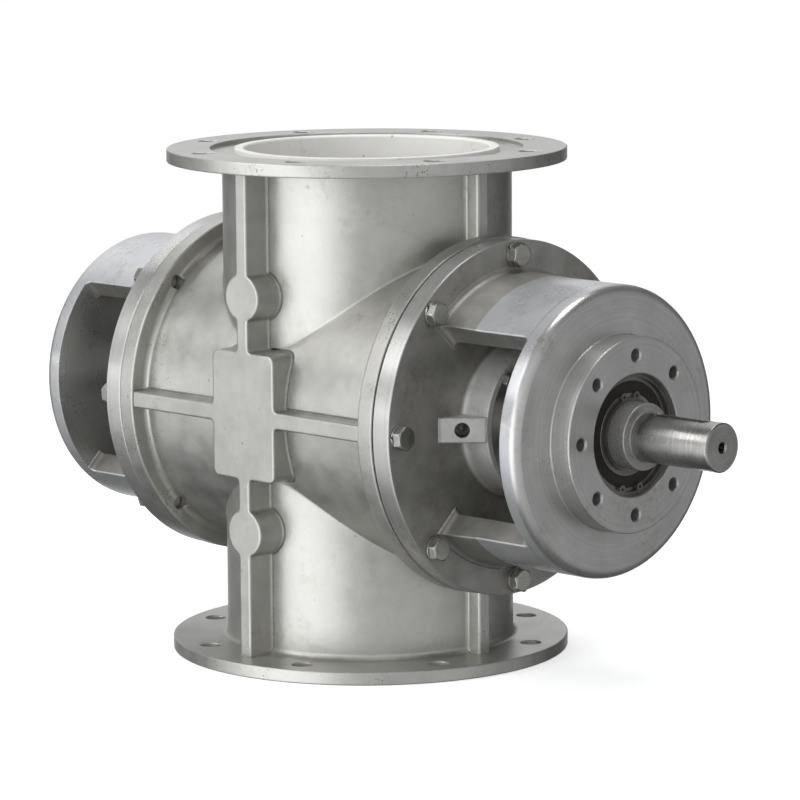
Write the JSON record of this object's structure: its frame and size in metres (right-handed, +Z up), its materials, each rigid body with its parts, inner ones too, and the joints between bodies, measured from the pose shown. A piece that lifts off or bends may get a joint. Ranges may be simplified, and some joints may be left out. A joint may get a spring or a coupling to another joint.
{
  "type": "rotary feed valve",
  "caption": "Lined rotary feed valve: round flanged inlet and outlet, cast ribbed body, windowed end covers with outboard bearings, keyed drive shaft.",
  "frame": {"origin": "centre of the outlet flange's lower face", "axes": "+Z up from the outlet to the inlet, +X along the rotor towards the drive end, -Y towards the front with the pad"},
  "size_m": [0.7174, 0.34, 0.43],
  "materials": {
    "cast_stainless": "blasted stainless casting",
    "cover_stainless": "stainless casting, turned faces",
    "liner_ceramic": "smooth white, cream at the lip",
    "rotor_steel": "machined",
    "shaft_steel": "ground, lightly marked",
    "turned_steel": "turned",
    "bolt_steel": "bright stainless",
    "washer_steel": "bright stainless",
    "bearing_steel": "ground",
    "cage_steel": "pressed sheet",
    "spring_steel": "blackened",
    "key_steel": "drawn",
    "gasket_sheet": "dark sheet, matt",
    "packing": "braided, graphited",
    "shield_rubber": "dark brown, matt"
  },
  "bodies": {
    "housing": {"housing_casting": "cast_stainless", "chamber_liner": "liner_ceramic", "inlet_liner": "liner_ceramic", "outlet_liner": "liner_ceramic", "tail_cap": "turned_steel", "tail_cap_screws": "bolt_steel", "drive_end_cover": "cover_stainless", "drive_cover_gasket": "gasket_sheet", "drive_cover_bolts": "bolt_steel", "drive_cover_washers": "washer_steel", "drive_lantern_ring": "turned_steel", "drive_packing_rings": "packing", "drive_seal_plate": "turned_steel", "drive_seal_screws": "bolt_steel", "drive_bearing_outer_ring": "bearing_steel", "drive_bearing_shields": "shield_rubber", "drive_bore_circlip": "spring_steel", "tail_end_cover": "cover_stainless", "tail_cover_gasket": "gasket_sheet", "tail_cover_bolts": "bolt_steel", "tail_cover_washers": "washer_steel", "tail_lantern_ring": "turned_steel", "tail_packing_rings": "packing", "tail_seal_plate": "turned_steel", "tail_seal_screws": "bolt_steel", "tail_bearing_outer_ring": "bearing_steel", "tail_bearing_shields": "shield_rubber", "tail_bore_circlip": "spring_steel"},
    "rotor_assembly": {"rotor": "rotor_steel", "rotor_key": "key_steel", "rotor_shaft": "shaft_steel", "drive_bearing_inner_ring": "bearing_steel", "drive_shaft_circlip": "spring_steel", "tail_bearing_inner_ring": "bearing_steel", "tail_shaft_circlip": "spring_steel"},
    "drive_ball_set": {"drive_bearing_balls": "bearing_steel", "drive_bearing_cage": "cage_steel"},
    "tail_ball_set": {"tail_bearing_balls": "bearing_steel", "tail_bearing_cage": "cage_steel"}
  },
  "joints": [
    {"name": "rotor_spin", "type": "hinge", "parent": "housing", "child": "rotor_assembly", "pos_m": [0, 0, 0.215], "axis": [1, 0, 0], "continuous": true},
    {"name": "drive_balls_spin", "type": "hinge", "parent": "housing", "child": "drive_ball_set", "pos_m": [0.2875, 0, 0.215], "axis": [1, 0, 0], "continuous": true},
    {"name": "tail_balls_spin", "type": "hinge", "parent": "housing", "child": "tail_ball_set", "pos_m": [-0.2875, 0, 0.215], "axis": [1, 0, 0], "continuous": true}
  ],
  "couplings": [
    {"joint": "drive_balls_spin", "follows": "rotor_spin", "ratio": 0.4079},
    {"joint": "tail_balls_spin", "follows": "rotor_spin", "ratio": 0.4079}
  ]
}
